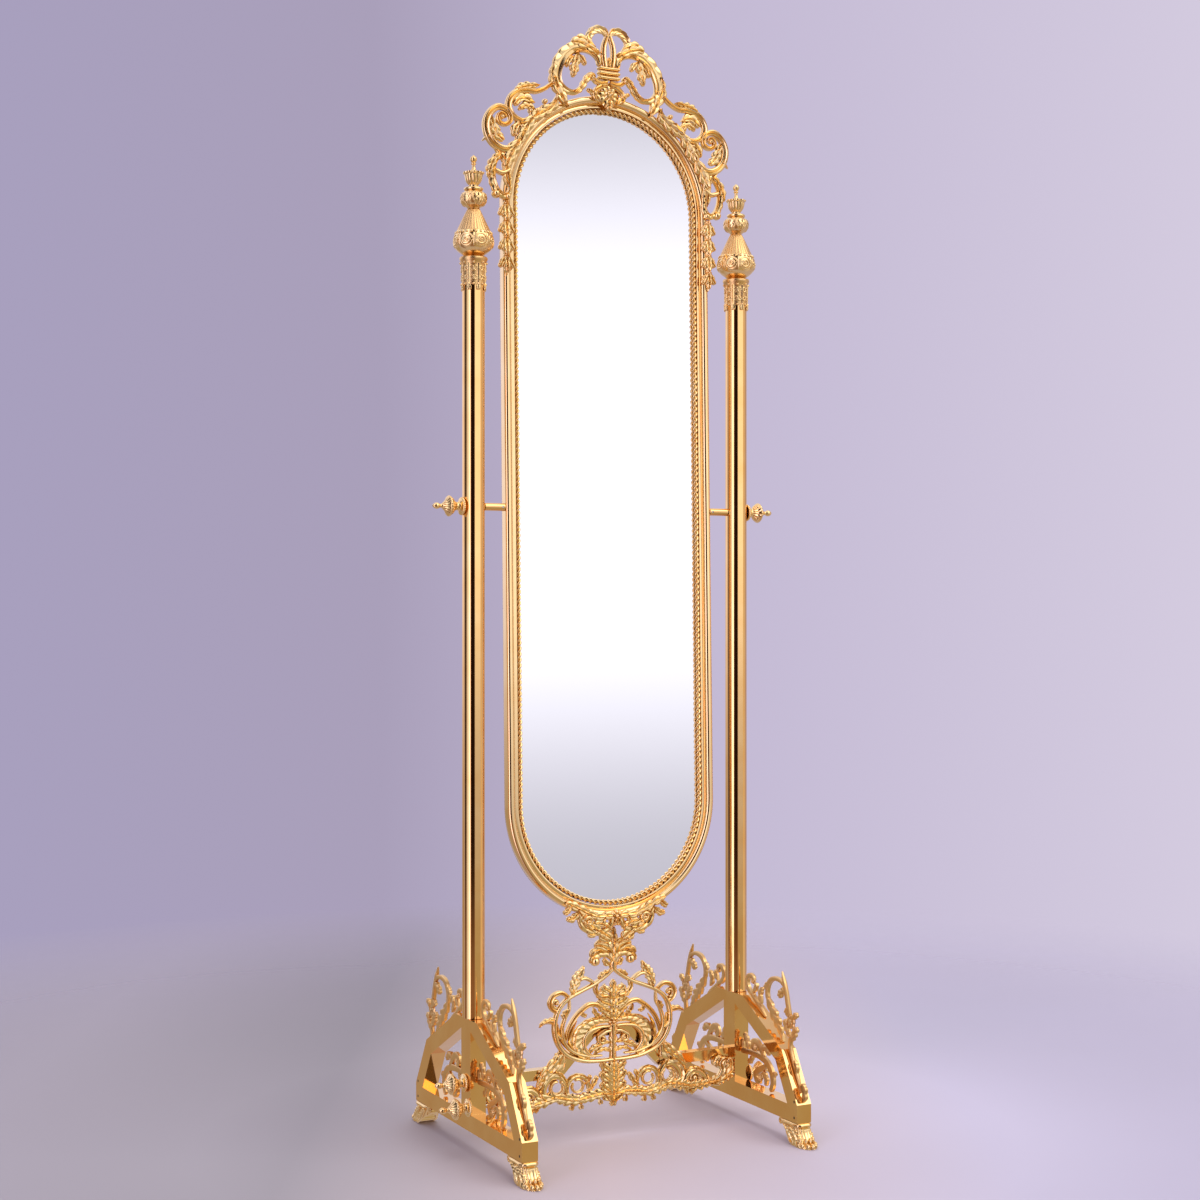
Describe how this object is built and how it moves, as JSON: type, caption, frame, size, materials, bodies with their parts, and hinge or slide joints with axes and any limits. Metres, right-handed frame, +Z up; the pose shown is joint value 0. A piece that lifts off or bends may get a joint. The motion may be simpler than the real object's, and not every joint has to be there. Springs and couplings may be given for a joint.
{
  "type": "cheval floor mirror",
  "caption": "Full-length round-ended mirror in an ornate brass frame with a scrollwork crest, tilting between round posts with finials on trestle feet.",
  "frame": {"origin": "on the floor, in the middle of the footprint, under the tilt axis", "axes": "+Z up, +X to the right as seen from the front, the glass faces -Y"},
  "size_m": [0.6528, 0.5, 1.9002],
  "materials": {
    "polished_brass": "bright polished and lacquered",
    "cast_brass": "polished casting, darker in the hollows",
    "silvered_glass": "silvered plate glass",
    "back_board": "stained board",
    "steel": "turned steel"
  },
  "bodies": {
    "stand": {"left_trestle": "polished_brass", "right_trestle": "polished_brass", "left_front_foot": "cast_brass", "left_rear_foot": "cast_brass", "right_front_foot": "cast_brass", "right_rear_foot": "cast_brass", "left_front_vine": "cast_brass", "left_rear_vine": "cast_brass", "right_front_vine": "cast_brass", "right_rear_vine": "cast_brass", "left_front_scroll": "cast_brass", "left_rear_scroll": "cast_brass", "right_front_scroll": "cast_brass", "right_rear_scroll": "cast_brass", "left_post": "polished_brass", "right_post": "polished_brass", "left_post_collar": "cast_brass", "right_post_collar": "cast_brass", "left_finial_pear": "cast_brass", "right_finial_pear": "cast_brass", "left_finial_bulb": "cast_brass", "right_finial_bulb": "cast_brass", "left_finial_crown": "cast_brass", "right_finial_crown": "cast_brass", "left_stretcher_nut": "cast_brass", "right_stretcher_nut": "cast_brass", "left_garland_nut": "cast_brass", "right_garland_nut": "cast_brass", "left_stretcher_tie_bolt": "steel", "right_stretcher_tie_bolt": "steel", "left_garland_tie_bolt": "steel", "right_garland_tie_bolt": "steel", "stretcher_bar": "polished_brass", "left_stretcher_leaf": "cast_brass", "right_stretcher_leaf": "cast_brass", "apron_garland": "cast_brass", "apron_scroll_panel": "cast_brass", "apron_fleur": "cast_brass"},
    "mirror": {"mirror_frame": "polished_brass", "rope_trim": "cast_brass", "mirror_glass": "silvered_glass", "back_panel": "back_board", "crest_crown": "cast_brass", "crest_left_scroll": "cast_brass", "crest_right_scroll": "cast_brass", "left_pendant": "cast_brass", "right_pendant": "cast_brass", "bottom_ornament": "cast_brass", "left_pivot_sleeve": "polished_brass", "right_pivot_sleeve": "polished_brass", "left_pivot_pin": "steel", "right_pivot_pin": "steel", "left_set_screw": "steel", "right_set_screw": "steel"},
    "left_knob": {"left_pivot_knob": "cast_brass"},
    "right_knob": {"right_pivot_knob": "cast_brass"}
  },
  "joints": [
    {"name": "mirror_tilt", "type": "hinge", "parent": "stand", "child": "mirror", "pos_m": [0, 0, 1.069], "axis": [1, 0, 0], "range_deg": [-58.8, 61.2]},
    {"name": "left_knob_turn", "type": "hinge", "parent": "mirror", "child": "left_knob", "pos_m": [-0.29, 0, 1.069], "axis": [1, 0, 0], "continuous": true},
    {"name": "right_knob_turn", "type": "hinge", "parent": "mirror", "child": "right_knob", "pos_m": [0.29, 0, 1.069], "axis": [1, 0, 0], "continuous": true}
  ]
}
